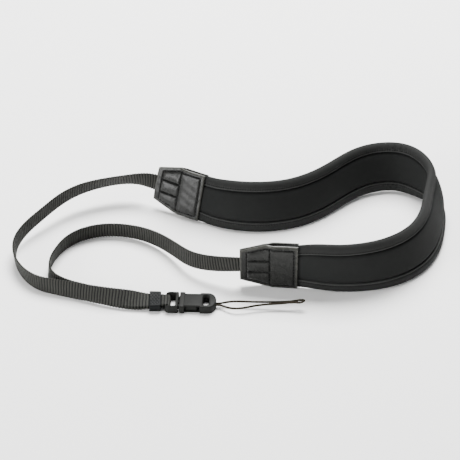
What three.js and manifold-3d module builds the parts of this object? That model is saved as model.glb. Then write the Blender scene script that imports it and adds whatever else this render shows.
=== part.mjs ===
// Camera neck strap: a padded neck band standing on its edge, a leather tab on each end of it,
// one ribbed webbing that runs from tab to tab through a keeper and round the bar of a small
// side-release buckle, and a thin cord loop for a camera eyelet.
// Millimetres, +Z up, resting on z = 0, centred on the whole strap without its cord loop.
import * as THREE from 'three';
import { mergeVertices } from 'three/addons/utils/BufferGeometryUtils.js';
import Module from 'manifold-3d';

const wasm = await Module();
wasm.setup();

// Driving dimensions
const centreShift = { x: -2.4, y: 15.05 };
const fitGap = 0.3;
const pad = { halfWidth: 15.5, seamInset: 6, tongueHalf: 1.2, stations: 58 };
const tab = { length: 33, taper: 15, wideHalf: 14.5, narrowHalf: 10.2, leather: 1.1, padInside: 12 };
const web = { halfWidth: 5, halfThick: 0.55, insideTab: 13, stations: 74 };
const buckle = {
  y: -78.3, turn: -2.2, height: 5, width: 14.5, plugStart: -36.3, plugEnd: -28.9, slotEnd: -30.5,
  socketStart: -28.3, collarEnd: -25.3, blockStart: -16.7, socketEnd: -7.6,
};
const bar = { x: -35.4, radius: 0.8 };
const keeper = { start: -45.2, end: -38.7, wall: 0.7, slack: 0.5 };
const cord = { radius: 0.6, sides: 8, stations: 64 };

// The neck band from the rear tab's narrow end, round the turn, to the front tab's narrow end.
// lean tips the upper edge outwards, lift is the gap between the lower edge and the surface.
const bandRoute = [
  { x: -45, y: 29.6, lift: 1.2, lean: 17, width: 0.8, puff: 0.5, bulge: 0 },
  { x: -17, y: 13.3, lift: 0.1, lean: 17, width: 0.93, puff: 0.5, bulge: 0 },
  { x: -2, y: 6, lift: 0.1, lean: 17, width: 0.98, puff: 0.9, bulge: 0 },
  { x: 16, y: 3, lift: 0, lean: 18, width: 1, puff: 1, bulge: 0 },
  { x: 36, y: 6.5, lift: 0, lean: 18, width: 1, puff: 1, bulge: 0 },
  { x: 56, y: 19, lift: 0.3, lean: 15, width: 1, puff: 1, bulge: 0 },
  { x: 72, y: 35, lift: 0.8, lean: 15, width: 1, puff: 1, bulge: 0 },
  { x: 88, y: 46.5, lift: 1.2, lean: 20, width: 1, puff: 1, bulge: 0 },
  { x: 105, y: 48.5, lift: 1, lean: 18, width: 1, puff: 1, bulge: 0 },
  { x: 118.3, y: 38, lift: 0.4, lean: 3, width: 1, puff: 1, bulge: 0.4 },
  { x: 125.4, y: 22, lift: 0.2, lean: -14, width: 1, puff: 1, bulge: 1 },
  { x: 123.6, y: 3, lift: 0, lean: -22, width: 1, puff: 1, bulge: 0.7 },
  { x: 119, y: -18, lift: 0, lean: -22, width: 1, puff: 1, bulge: 0.3 },
  { x: 108.4, y: -41, lift: 0, lean: -18, width: 1, puff: 1, bulge: 0 },
  { x: 88.4, y: -57.9, lift: 0, lean: -10, width: 1, puff: 1, bulge: 0 },
  { x: 62, y: -63.5, lift: 0, lean: -1, width: 1, puff: 1, bulge: 0 },
  { x: 48, y: -62.5, lift: 0.5, lean: 2, width: 0.99, puff: 0.9, bulge: 0 },
  { x: 38.2, y: -61, lift: 0.5, lean: 3, width: 0.94, puff: 0.5, bulge: 0 },
  { x: 5.6, y: -58.4, lift: 0.1, lean: 4, width: 0.8, puff: 0.5, bulge: 0 },
];

// The webbing from the rear tab, round the far left, to the buckle's bar. z is its centre line.
// lean tips the upper edge to the left of the way the strap runs; 90 is flat.
const rearLeg = [
  { x: -56, y: 33.3, z: 15.9, lean: 14 },
  { x: -66.8, y: 33.3, z: 15.4, lean: 28 },
  { x: -79.6, y: 29.6, z: 15.1, lean: 26 },
  { x: -92.2, y: 23.4, z: 14.5, lean: 18 },
  { x: -103.2, y: 13.8, z: 13.2, lean: 10 },
  { x: -112.9, y: 1.4, z: 11, lean: 8 },
  { x: -121.7, y: -11.8, z: 8.8, lean: 4 },
  { x: -126.3, y: -25.6, z: 7, lean: -2 },
  { x: -125, y: -39.6, z: 5.8, lean: -6 },
  { x: -119.2, y: -52.3, z: 5.2, lean: -6 },
  { x: -110, y: -62.2, z: 5.1, lean: 0 },
  { x: -98, y: -67.7, z: 5.3, lean: 10 },
  { x: -85, y: -72.2, z: 5.7, lean: 20 },
  { x: -72, y: -76.5, z: 6.2, lean: 27 },
  { x: -60, y: -78.8, z: 6.1, lean: 40 },
  { x: -52, y: -78.6, z: 4.9, lean: 62 },
  { x: -45.6, y: -78.4, z: 4.1, lean: 79 },
  { x: -41, y: -78.3, z: 4, lean: 82 },
  { x: -38, y: -78.3, z: 4.05, lean: 86 },
];

// The webbing from the front tab to where it meets the rear leg and runs back inside it.
const frontLeg = [
  { x: -9.4, y: -53.8, z: 12.2, lean: -4 },
  { x: -22, y: -45.9, z: 9.8, lean: -8 },
  { x: -30.8, y: -34.7, z: 7.9, lean: -6 },
  { x: -39.6, y: -23.3, z: 6.5, lean: -4 },
  { x: -50.3, y: -14.2, z: 5.7, lean: 0 },
  { x: -62.7, y: -8.8, z: 5.2, lean: 5 },
  { x: -75.4, y: -8, z: 5.1, lean: 7 },
  { x: -87.3, y: -12.1, z: 5.1, lean: 8 },
  { x: -96.5, y: -20.9, z: 5.1, lean: 8 },
  { x: -102.1, y: -33.2, z: 5.1, lean: 9 },
  { x: -104.4, y: -46.2, z: 5.1, lean: 7 },
  { x: -102, y: -57.5, z: 5.2, lean: 4 },
  { x: -95.5, y: -64.8, z: 5.3, lean: 6 },
];

// Where the two layers run together: gap between their centres, and how far the inner one slips down.
const doubled = [
  { x: -88, gap: 1.5, slip: 0 },
  { x: -76, gap: 1.4, slip: 0.6 },
  { x: -62, gap: 1.4, slip: 1.2 },
  { x: -52, gap: 1.4, slip: 1 },
  { x: -45.6, gap: 1.4, slip: 0.3 },
  { x: -38, gap: 1.4, slip: 0.3 },
  { x: -36.6, gap: 2.8, slip: 0.1 },
  { x: -35.4, gap: 3.3, slip: 0 },
];

// The cord loop: out along its far strand, round the tip, back along its near strand.
const cordRoute = [
  [-9.2, -78.8, 2.1], [-6, -78.9, 2.2], [-1, -78.7, 3], [5, -79, 3.6], [13, -79.7, 3.8],
  [21, -80.2, 4.1], [29, -80.7, 4.5], [36, -80.7, 5.2], [40.3, -80.6, 5.7], [41.5, -81.4, 5.9],
  [40.5, -82.3, 5.7], [36.5, -82.2, 5.2], [30, -82, 4.5], [22, -82.1, 3.9], [13.5, -83.2, 3.5],
  [7, -84.7, 3.2], [2.6, -84.8, 2.9], [-1.4, -83.2, 2.5], [-4.8, -81, 2.2], [-9.2, -80.3, 2.1],
];

// Half of the band's section: distance from the middle line against half thickness.
const corePoints = [
  { w: 0, f: 3.2 }, { w: 5, f: 3 }, { w: 8, f: 2.5 }, { w: 9.3, f: 1.8 },
];
const bindingPoints = [
  { w: 0, f: 2.3 }, { w: 1.8, f: 2.7 }, { w: 3.8, f: 2.5 }, { w: 5.2, f: 1.6 }, { w: 6, f: 0 },
];

const radians = THREE.MathUtils.degToRad;
const group = new THREE.Group();

function addPiece(name, geometry, colour, roughness, metalness = 0) {
  const material = new THREE.MeshStandardMaterial({ color: colour, roughness, metalness });
  const mesh = new THREE.Mesh(geometry, material);
  mesh.name = name;
  group.add(mesh);
}

// A natural cubic through the rows, one column at a time, against the distance between the rows.
function splineThrough(rows, columns) {
  const reach = [0];
  for (let i = 1; i < rows.length; i += 1) {
    const a = rows[i - 1];
    const b = rows[i];
    reach.push(reach[i - 1] + Math.hypot(b.x - a.x, b.y - a.y, (b.z ?? 0) - (a.z ?? 0)));
  }
  const last = rows.length - 1;
  const bends = {};
  for (const column of columns) {
    const slopeLeft = new Array(rows.length).fill(0);
    const bend = new Array(rows.length).fill(0);
    for (let i = 1; i < last; i += 1) {
      const before = reach[i] - reach[i - 1];
      const after = reach[i + 1] - reach[i];
      const rise = (rows[i + 1][column] - rows[i][column]) / after;
      const fall = (rows[i][column] - rows[i - 1][column]) / before;
      const pivot = 2 * (before + after) - before * slopeLeft[i - 1];
      slopeLeft[i] = after / pivot;
      bend[i] = (6 * (rise - fall) - before * bend[i - 1]) / pivot;
    }
    for (let i = last - 1; i > 0; i -= 1) {
      bend[i] -= slopeLeft[i] * bend[i + 1];
    }
    bends[column] = bend;
  }
  const at = (distance) => {
    let i = 1;
    while (i < last && distance > reach[i]) i += 1;
    const span = reach[i] - reach[i - 1];
    const b = (distance - reach[i - 1]) / span;
    const a = 1 - b;
    const out = {};
    for (const column of columns) {
      const m = bends[column];
      const cubic = ((a ** 3 - a) * m[i - 1] + (b ** 3 - b) * m[i]) * span * span / 6;
      out[column] = a * rows[i - 1][column] + b * rows[i][column] + cubic;
    }
    return out;
  };
  return { at, length: reach[last], reach };
}

// A station on a strap: p on its middle line, t along it, u up its width, f out of its left face.
function makeStation(p, t, lean, extra = {}) {
  const along = t.clone().normalize();
  const left = new THREE.Vector3(-along.y, along.x, 0).normalize();
  const angle = radians(lean);
  const u = new THREE.Vector3(0, 0, Math.cos(angle)).addScaledVector(left, Math.sin(angle));
  u.addScaledVector(along, -u.dot(along)).normalize();
  const f = new THREE.Vector3().crossVectors(u, along);
  return { p: p.clone(), t: along, u, f, ...extra };
}

function stationsAlong(rows, distances, heightOf, columns) {
  const spline = splineThrough(rows, columns);
  const pointAt = (d) => {
    const v = spline.at(d);
    return new THREE.Vector3(v.x, v.y, heightOf(v));
  };
  const step = 0.2;
  return distances(spline).map((d) => {
    const ahead = pointAt(Math.min(d + step, spline.length));
    const behind = pointAt(Math.max(d - step, 0));
    const v = spline.at(d);
    return makeStation(pointAt(d), ahead.sub(behind), v.lean, { d, ...v });
  });
}

function evenly(from, to, count) {
  return Array.from({ length: count }, (_, i) => from + (to - from) * i / (count - 1));
}

// A closed solid carried along stations: section(station) gives its outline as [w, f] pairs.
function carry(stations, section) {
  const rings = stations.map((s) => section(s).map(([w, f]) => (
    s.p.clone().addScaledVector(s.u, w).addScaledVector(s.f, f)
  )));
  const count = rings[0].length;
  const positions = rings.flat().flatMap((v) => [v.x, v.y, v.z]);
  const index = [];
  for (let i = 0; i < rings.length - 1; i += 1) {
    for (let j = 0; j < count; j += 1) {
      const k = (j + 1) % count;
      const a = i * count + j;
      const b = i * count + k;
      index.push(a, b, b + count, a, b + count, a + count);
    }
  }
  const capAt = (ring, flip) => {
    const outline = section(stations[ring]).map(([w, f]) => new THREE.Vector2(w, f));
    for (const [a, b, c] of THREE.ShapeUtils.triangulateShape(outline, [])) {
      const o = ring * count;
      index.push(...(flip ? [o + a, o + c, o + b] : [o + a, o + b, o + c]));
    }
  };
  const turnsLeft = !THREE.ShapeUtils.isClockWise(
    section(stations[0]).map(([w, f]) => new THREE.Vector2(w, f)),
  );
  capAt(0, turnsLeft);
  capAt(rings.length - 1, !turnsLeft);
  return facingOut(positions, index);
}

function facingOut(positions, index) {
  const geometry = new THREE.BufferGeometry();
  geometry.setAttribute('position', new THREE.Float32BufferAttribute(positions, 3));
  const v = (i) => new THREE.Vector3().fromArray(positions, 3 * i);
  let volume = 0;
  for (let i = 0; i < index.length; i += 3) {
    volume += v(index[i]).dot(v(index[i + 1]).cross(v(index[i + 2])));
  }
  const ordered = volume > 0 ? index : index.slice().reverse();
  geometry.setIndex(ordered);
  return geometry;
}

// Solids for joining and cutting
function toSolid(geometry) {
  const bare = geometry.clone();
  bare.deleteAttribute('normal');
  bare.deleteAttribute('uv');
  const merged = mergeVertices(bare, 1e-4);
  return new wasm.Manifold(new wasm.Mesh({
    numProp: 3,
    vertProperties: new Float32Array(merged.attributes.position.array),
    triVerts: new Uint32Array(merged.index.array),
  }));
}

function fromSolid(solid) {
  const mesh = solid.getMesh();
  const geometry = new THREE.BufferGeometry();
  geometry.setAttribute('position', new THREE.BufferAttribute(new Float32Array(mesh.vertProperties), 3));
  geometry.setIndex(new THREE.BufferAttribute(new Uint32Array(mesh.triVerts), 1));
  return geometry;
}

// An outline in x and y raised from z = low to z = high, its rims chamfered by edge.
function slab(shape, low, high, edge = 0) {
  const geometry = new THREE.ExtrudeGeometry(shape, {
    depth: high - low - 2 * edge,
    bevelEnabled: edge > 0,
    bevelThickness: edge,
    bevelSize: edge,
    bevelOffset: -edge,
    bevelSegments: 1,
    curveSegments: 6,
  });
  geometry.translate(0, 0, low + edge);
  return toSolid(geometry);
}

// A rectangle in x and y about the buckle's middle line, with rounded right-hand corners.
function plate(x0, x1, halfWidth, leftRound, rightRound = leftRound) {
  const shape = new THREE.Shape();
  const y = buckle.y;
  shape.moveTo(x0 + leftRound, y - halfWidth);
  shape.lineTo(x1 - rightRound, y - halfWidth);
  shape.absarc(x1 - rightRound, y - halfWidth + rightRound, rightRound, -Math.PI / 2, 0);
  shape.lineTo(x1, y + halfWidth - rightRound);
  shape.absarc(x1 - rightRound, y + halfWidth - rightRound, rightRound, 0, Math.PI / 2);
  shape.lineTo(x0 + leftRound, y + halfWidth);
  shape.absarc(x0 + leftRound, y + halfWidth - leftRound, leftRound, Math.PI / 2, Math.PI);
  shape.lineTo(x0, y - halfWidth + leftRound);
  shape.absarc(x0 + leftRound, y - halfWidth + leftRound, leftRound, Math.PI, 1.5 * Math.PI);
  return shape;
}

function box(x0, x1, y0, y1, z0, z1) {
  const geometry = new THREE.BoxGeometry(x1 - x0, y1 - y0, z1 - z0);
  geometry.translate((x0 + x1) / 2, (y0 + y1) / 2, (z0 + z1) / 2);
  return toSolid(geometry);
}

// --- Neck band ---

// How far the lowest point of the band's section lies below its middle line.
function standingHeight(v) {
  const angle = radians(Math.abs(v.lean));
  const reach = pad.halfWidth * v.width;
  const inTab = THREE.MathUtils.clamp(2 - 2 * v.puff, 0, 1);
  const corners = [[reach, 0], [reach - 0.8, 1.6], [reach - 2.2, 2.5], [tab.wideHalf, 2.4 * inTab]];
  return Math.max(...corners.map(([w, f]) => w * Math.cos(angle) + f * Math.sin(angle)));
}

const bandColumns = ['x', 'y', 'lift', 'lean', 'width', 'puff', 'bulge'];
const bandHeight = (v) => standingHeight(v) + Math.max(v.lift, 0);
const bandSpline = splineThrough(bandRoute, bandColumns);
const bandAt = (distances) => stationsAlong(bandRoute, () => distances, bandHeight, bandColumns);
const padStart = bandSpline.reach[1] - tab.padInside;
const padEnd = bandSpline.reach[bandRoute.length - 2] + tab.padInside;

const thin = (s, f) => f * Math.min(Math.max(s.puff, 0.5), 1);
const tongue = (s) => thin(s, pad.tongueHalf);

// Padded middle panel with a thin tongue along each side, which the bindings grip.
function coreSection(s) {
  const seam = pad.halfWidth * s.width - pad.seamInset - fitGap;
  const scale = seam / corePoints[corePoints.length - 1].w;
  const reach = pad.halfWidth * s.width - 1.9;
  const quarter = corePoints.map(({ w, f }) => [w * scale, thin(s, f)]);
  quarter.push([seam, tongue(s)], [reach, tongue(s)]);
  const mirrorW = quarter.slice(1).reverse().map(([w, f]) => [-w, f]);
  const upper = [...mirrorW, ...quarter];
  const swollen = upper.map(([w, f]) => [w, f + s.bulge * Math.max(1 - (w / seam) ** 2, 0)]);
  return [...swollen, ...upper.slice().reverse().map(([w, f]) => [w, -f])];
}

// A folded binding: a C round the tongue. side is 1 for the upper edge and -1 for the lower.
function bindingSection(s, side) {
  const seam = pad.halfWidth * s.width - pad.seamInset;
  const slot = tongue(s) + fitGap;
  const tip = pad.halfWidth * s.width - 1.9 + fitGap;
  const outer = bindingPoints.map(({ w, f }) => [seam + w, thin(s, f)]);
  const back = outer.slice(0, -1).reverse().map(([w, f]) => [w, -f]);
  const inner = [[seam, -slot], [tip, -slot], [tip, slot], [seam, slot]];
  return [...outer, ...back, ...inner].map(([w, f]) => [side * w, f]);
}

const padStations = bandAt(evenly(padStart, padEnd, pad.stations));
addPiece('neck_pad', carry(padStations, coreSection), 0x2a2c2c, 0.95);
for (const [name, side] of [['upper_binding', 1], ['lower_binding', -1]]) {
  addPiece(name, carry(padStations, (s) => bindingSection(s, side)), 0x333436, 0.9);
}

// --- Leather tabs ---

// One leather patch: hollowed over the pad and the webbing, down almost to its twin at the rim.
function patchSection(fromNarrow, side) {
  return (s) => {
    const along = fromNarrow(s);
    const widen = Math.min(along / tab.taper, 1);
    const half = tab.narrowHalf + (tab.wideHalf - tab.narrowHalf) * widen;
    const overWeb = web.halfThick + fitGap;
    const overPad = thin({ puff: 0.5 }, corePoints[0].f) + fitGap;
    const blend = THREE.MathUtils.smoothstep(along, tab.taper - 3, tab.length - tab.padInside);
    const hollow = overWeb + (overPad - overWeb) * blend;
    const rim = 0.2 + 1.1 * THREE.MathUtils.smoothstep(along, tab.taper, tab.taper + 4);
    const flat = web.halfWidth + 0.4 + (half - 1.6 - web.halfWidth) * blend;
    const inside = [[-half, rim], [-flat, hollow], [flat, hollow], [half, rim]];
    const outside = inside.slice().reverse().map(([w, f]) => [w, f + tab.leather]);
    return [...inside, ...outside].map(([w, f]) => [w, side * f]);
  };
}

const bandLength = bandSpline.length;
const frontMouth = bandSpline.reach[bandRoute.length - 2];
const tabs = [
  { name: 'rear_tab', from: 0, to: bandSpline.reach[1], narrowAt: (s) => s.d },
  { name: 'front_tab', from: frontMouth, to: bandLength, narrowAt: (s) => bandLength - s.d },
];
for (const { name, from, to, narrowAt } of tabs) {
  const stations = bandAt(evenly(from, to, 12));
  addPiece(`${name}_outer`, carry(stations, patchSection(narrowAt, 1)), 0x3e403e, 0.55);
  addPiece(`${name}_inner`, carry(stations, patchSection(narrowAt, -1)), 0x3e403e, 0.55);
}

// --- Webbing ---

// The leg rows start with the stretch that is sewn between a tab's two patches.
function legRows(rows, inTab) {
  const hidden = inTab.map((s) => {
    const flips = Math.sign(s.t.dot(new THREE.Vector3(rows[0].x - s.p.x, rows[0].y - s.p.y, 0)));
    return { x: s.p.x, y: s.p.y, z: s.p.z, lean: s.lean * flips };
  });
  return [...hidden, ...rows];
}

const legColumns = ['x', 'y', 'z', 'lean'];
const barCentre = new THREE.Vector3(bar.x, buckle.y, buckle.height / 2);
const foldRadius = bar.radius + fitGap + web.halfThick;
const barRow = { x: bar.x, y: buckle.y, z: barCentre.z + foldRadius, lean: 90 };
const rearHidden = bandAt([web.insideTab, web.insideTab / 2, 0]);
const frontHidden = bandAt([bandLength - web.insideTab, bandLength - web.insideTab / 2, bandLength]);
const nearBar = { x: bar.x - 1.2, y: buckle.y, z: barRow.z, lean: 90 };
const rearRows = [...legRows(rearLeg, rearHidden), nearBar, barRow];
const rearStations = stationsAlong(
  rearRows,
  (spline) => evenly(0, 1, web.stations).map((q) => spline.length * q * (1.5 - 0.5 * q)),
  (v) => v.z,
  legColumns,
);

// The inner layer: the rear leg's own path, set off by the gap and slipped down by the slip.
const layering = (x) => {
  const rows = doubled.map((row) => ({ ...row, y: 0 }));
  let i = 1;
  while (i < rows.length - 1 && x > rows[i].x) i += 1;
  const share = THREE.MathUtils.clamp((x - rows[i - 1].x) / (rows[i].x - rows[i - 1].x), 0, 1);
  const ease = THREE.MathUtils.smoothstep(share, 0, 1);
  return {
    gap: rows[i - 1].gap + (rows[i].gap - rows[i - 1].gap) * ease,
    slip: rows[i - 1].slip + (rows[i].slip - rows[i - 1].slip) * ease,
  };
};
const innerLayer = rearStations
  .filter((s) => s.p.x > doubled[0].x && s.p.y < -60)
  .map((s) => {
    const { gap, slip } = layering(s.p.x);
    const p = s.p.clone().addScaledVector(s.f, gap).addScaledVector(s.u, -slip);
    return { ...s, p };
  });
const meeting = innerLayer.slice(0, 3).map((s) => ({ x: s.p.x, y: s.p.y, z: s.p.z, lean: s.lean }));
const frontRows = [...legRows(frontLeg, frontHidden), ...meeting];
const frontStations = stationsAlong(
  frontRows,
  (spline) => evenly(0, spline.reach[frontRows.length - 3], web.stations - 20).slice(0, -1),
  (v) => v.z,
  legColumns,
);

const foldSteps = 8;
const foldStations = evenly(0, Math.PI, foldSteps + 1).slice(1, -1).map((turn) => {
  const f = new THREE.Vector3(-Math.sin(turn), 0, -Math.cos(turn));
  const t = new THREE.Vector3(Math.cos(turn), 0, -Math.sin(turn));
  const p = barCentre.clone().addScaledVector(f, -foldRadius);
  return { p, t, u: new THREE.Vector3(0, 1, 0), f };
});
const backwards = [...frontStations, ...innerLayer].reverse().map((s) => ({
  p: s.p, t: s.t.clone().negate(), u: s.u, f: s.f.clone().negate(),
}));
const webbingStations = [...rearStations, ...foldStations, ...backwards];

function webbingSection() {
  const w = web.halfWidth;
  const f = web.halfThick;
  const round = 0.35;
  return [
    [-w, -f + round], [-w, f - round], [-w + round, f], [w - round, f],
    [w, f - round], [w, -f + round], [w - round, -f], [-w + round, -f],
  ];
}
addPiece('webbing', carry(webbingStations, webbingSection), 0x464844, 0.85);

// --- Keeper ---

// A rubber sleeve round both layers: an outer and an inner surface joined at the two ends.
function sleeve(stations, outerSection, innerSection) {
  const place = (s, [w, f]) => s.p.clone().addScaledVector(s.u, w).addScaledVector(s.f, f);
  const rings = [
    ...stations.map((s) => outerSection.map((q) => place(s, q))),
    ...stations.slice().reverse().map((s) => innerSection.map((q) => place(s, q))),
  ];
  const count = outerSection.length;
  const index = [];
  for (let i = 0; i < rings.length; i += 1) {
    const next = (i + 1) % rings.length;
    for (let j = 0; j < count; j += 1) {
      const k = (j + 1) % count;
      const [a, b, c, d] = [i * count + j, i * count + k, next * count + k, next * count + j];
      index.push(a, b, c, a, c, d);
    }
  }
  return facingOut(rings.flat().flatMap((v) => [v.x, v.y, v.z]), index);
}

function roundedSection(halfWidth, halfThick, round) {
  return [
    [-halfWidth, -halfThick + round], [-halfWidth, halfThick - round],
    [-halfWidth + round * 0.3, halfThick - round * 0.3], [-halfWidth + round, halfThick],
    [halfWidth - round, halfThick], [halfWidth - round * 0.3, halfThick - round * 0.3],
    [halfWidth, halfThick - round], [halfWidth, -halfThick + round],
    [halfWidth - round * 0.3, -halfThick + round * 0.3], [halfWidth - round, -halfThick],
    [-halfWidth + round, -halfThick], [-halfWidth + round * 0.3, -halfThick + round * 0.3],
  ];
}

const keeperSpan = stationsAlong(
  rearRows,
  (spline) => {
    const at = (x) => {
      let d = spline.length;
      while (spline.at(d).x > x) d -= 0.05;
      return d;
    };
    return evenly(at(keeper.start), at(keeper.end), 5);
  },
  (v) => v.z,
  legColumns,
).map((s) => {
  const { gap, slip } = layering(s.p.x);
  const p = s.p.clone().addScaledVector(s.f, gap / 2).addScaledVector(s.u, -slip / 2);
  return { ...s, p };
});
const holeHalfWidth = web.halfWidth + keeper.slack / 2 + fitGap;
const holeHalfThick = 2 * web.halfThick + fitGap / 2 + 1.4 * fitGap;
addPiece('keeper', sleeve(
  keeperSpan,
  roundedSection(holeHalfWidth + keeper.wall, holeHalfThick + keeper.wall, 0.7),
  roundedSection(holeHalfWidth, holeHalfThick, 0.3),
), 0x323638, 0.7);

// --- Buckle ---

const { height } = buckle;
const half = buckle.width / 2;
const midZ = height / 2;
const railInside = web.halfWidth + 0.45;

// Plug half: an open frame with the webbing bar, two sprung prongs and a guide between them.
function makePlug() {
  const frame = slab(plate(buckle.plugStart, buckle.plugEnd, half, 2.4, 0.6), 0, height, 0.4);
  const slot = box(buckle.plugStart - 1, buckle.slotEnd, buckle.y - railInside,
    buckle.y + railInside, -1, height + 1);
  const barShape = new THREE.CylinderGeometry(bar.radius, bar.radius, 2 * railInside + 1, 12);
  barShape.translate(bar.x, buckle.y, midZ);
  const funnel = slab(plate(buckle.plugStart - 3, buckle.slotEnd + 0.3, railInside + 0.9, 1.3),
    height - 1.4, height + 2, 1.2);
  let plug = frame.subtract(slot).subtract(funnel).add(toSolid(barShape));
  const root = buckle.plugEnd - 0.5;
  for (const side of [1, -1]) {
    const prong = new THREE.Shape();
    const outline = [
      [root, 4.6], [-25.6, 4.6], [-24.4, 5.6], [-18.6, 5.6], [-17.4, 4.2],
      [-17.8, 3.4], [-19.6, 3.2], [-25.2, 3.4], [root, 3],
    ];
    outline.forEach(([x, y], i) => {
      const point = [x, buckle.y + side * y];
      if (i === 0) prong.moveTo(...point);
      else prong.lineTo(...point);
    });
    plug = plug.add(slab(prong, midZ - 1.1, midZ + 1.1));
  }
  const guide = slab(plate(root, -20, 0.9, 0.2, 0.8), midZ - 0.8, midZ + 0.8);
  return plug.add(guide);
}

// Socket half: collar, waisted body with a window in each long side, and an end block
// that is round at its end, with a cross slot and a cord hole through its end wall.
function makeSocket() {
  const collar = slab(plate(buckle.socketStart, buckle.collarEnd, half, 0.6), 0, height, 0.4);
  const waist = slab(plate(buckle.collarEnd - 1, buckle.blockStart + 1, half - 1.3, 0.5), 0.1,
    height - 0.2, 0.3);
  const endShape = new THREE.Shape();
  const endRound = buckle.socketEnd - 4.6;
  endShape.moveTo(buckle.blockStart, buckle.y - half + 0.3);
  endShape.lineTo(endRound, buckle.y - half + 0.3);
  endShape.absellipse(endRound, buckle.y, 4.6, half - 0.3, -Math.PI / 2, Math.PI / 2);
  endShape.lineTo(buckle.blockStart, buckle.y + half - 0.3);
  const block = slab(endShape, 0, height - 0.2, 0.4);
  const cavity = box(buckle.socketStart - 1, buckle.blockStart - 0.2, buckle.y - 5, buckle.y + 5,
    midZ - 1.5, midZ + 1.5);
  const windows = box(buckle.collarEnd + 0.1, buckle.blockStart - 0.2, buckle.y - half - 1,
    buckle.y + half + 1, midZ - 1.5, midZ + 1.5);
  const crossSlot = slab(plate(-15.2, -11.6, 4, 1.6), -1, height + 1)
    .add(slab(plate(-15.5, -11.3, 5.2, 1.9), height - 1.5, height + 2, 1.2));
  const cordHole = box(-12, buckle.socketEnd + 1, buckle.y - 2.1, buckle.y + 1.4, 1.2, 3);
  return collar.add(waist).add(block).subtract(cavity).subtract(windows)
    .subtract(crossSlot).subtract(cordHole);
}

// The buckle is turned a little about its bar, so that its socket points towards the front.
function turned(solid) {
  const geometry = fromSolid(solid);
  geometry.translate(-bar.x, -buckle.y, 0);
  geometry.rotateZ(radians(buckle.turn));
  geometry.translate(bar.x, buckle.y, 0);
  return geometry;
}
addPiece('buckle_plug', turned(makePlug()), 0x414340, 0.5);
addPiece('buckle_socket', turned(makeSocket()), 0x414340, 0.5);

// --- Cord loop ---

const cordCurve = new THREE.CatmullRomCurve3(
  cordRoute.map((q) => new THREE.Vector3(...q)),
  false,
  'centripetal',
);
const cordShape = new THREE.Shape();
for (let i = 0; i < cord.sides; i += 1) {
  const turn = (i + 0.5) * 2 * Math.PI / cord.sides;
  const point = [cord.radius * Math.cos(turn), cord.radius * Math.sin(turn)];
  if (i === 0) cordShape.moveTo(...point);
  else cordShape.lineTo(...point);
}
const cordGeometry = new THREE.ExtrudeGeometry(cordShape, {
  steps: cord.stations,
  extrudePath: cordCurve,
  bevelEnabled: false,
});
addPiece('cord_loop', cordGeometry, 0x32302a, 0.8);

for (const mesh of group.children) {
  mesh.geometry.translate(centreShift.x, centreShift.y, 0);
}

export default group;
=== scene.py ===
# Camera neck strap: neoprene neck band with folded bindings, leather tabs, one ribbed strap
# through a knurled keeper, a mini side-release buckle and a thin cord loop.
# Lengths are worked out in millimetres and put into the meshes in metres.
import bmesh
import bpy
import math
import numpy as np
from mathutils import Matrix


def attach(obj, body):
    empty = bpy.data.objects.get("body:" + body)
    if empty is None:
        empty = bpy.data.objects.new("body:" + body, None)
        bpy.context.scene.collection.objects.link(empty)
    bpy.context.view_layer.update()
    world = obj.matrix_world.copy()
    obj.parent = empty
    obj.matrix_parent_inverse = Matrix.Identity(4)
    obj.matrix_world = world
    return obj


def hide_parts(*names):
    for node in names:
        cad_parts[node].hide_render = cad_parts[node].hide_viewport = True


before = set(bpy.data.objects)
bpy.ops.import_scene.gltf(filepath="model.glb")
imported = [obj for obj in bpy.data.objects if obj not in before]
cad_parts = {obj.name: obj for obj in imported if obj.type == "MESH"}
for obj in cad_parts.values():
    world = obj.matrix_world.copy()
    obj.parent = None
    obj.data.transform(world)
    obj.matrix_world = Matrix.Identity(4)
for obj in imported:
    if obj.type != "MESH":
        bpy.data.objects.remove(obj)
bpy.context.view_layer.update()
millimetre = 0.001
centreShift = np.array([-2.4, 15.05, 0.0])  # the solids are centred by the same shift
tangentStep = 0.2  # mm each way when a direction is taken from a curve


cameraSetup = {"elevation": 33.0, "distance": 900.0, "lens": 116.2, "sensor": 36.0,
               "clipStart": 0.05, "clipEnd": 20.0}  # degrees, mm, and metres for the clips


def newObject(name, data):
    # an object in the scene that shows this data
    thing = bpy.data.objects.new(name, data)
    bpy.context.scene.collection.objects.link(thing)
    return thing


def addCamera():
    # stands at distance (0, -cos e, sin e) from the layout's origin and looks back at it
    e = math.radians(cameraSetup["elevation"])
    place = np.array([0.0, -math.cos(e), math.sin(e)]) * cameraSetup["distance"] + centreShift
    camera = newObject("Camera", bpy.data.cameras.new("Camera"))
    camera.data.lens = cameraSetup["lens"]
    camera.data.sensor_width = cameraSetup["sensor"]
    camera.data.clip_start = cameraSetup["clipStart"]
    camera.data.clip_end = cameraSetup["clipEnd"]
    camera.location = place * millimetre
    camera.rotation_euler = (math.pi / 2 - e, 0, 0)
    bpy.context.scene.camera = camera


addCamera()


def addMesh(name, points, faces, material, marks=None, sharp=40.0):
    # points (..., 3) in mm, faces a list of index lists; marks are extra vectors on the points
    mesh = bpy.data.meshes.new(name)
    points = (points.reshape(-1, 3) + centreShift) * millimetre
    mesh.from_pydata(points.tolist(), [], outwards(points, faces))
    for key, values in (marks or {}).items():
        layer = mesh.attributes.new(name=key, type="FLOAT_VECTOR", domain="POINT")
        layer.data.foreach_set("vector", np.asarray(values, dtype=np.float32).ravel())
    mesh.shade_smooth()
    mesh.update()
    mesh.set_sharp_from_angle(angle=math.radians(sharp))
    mesh.materials.append(material)
    piece = newObject(name, mesh)
    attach(piece, "root")
    return piece


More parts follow.
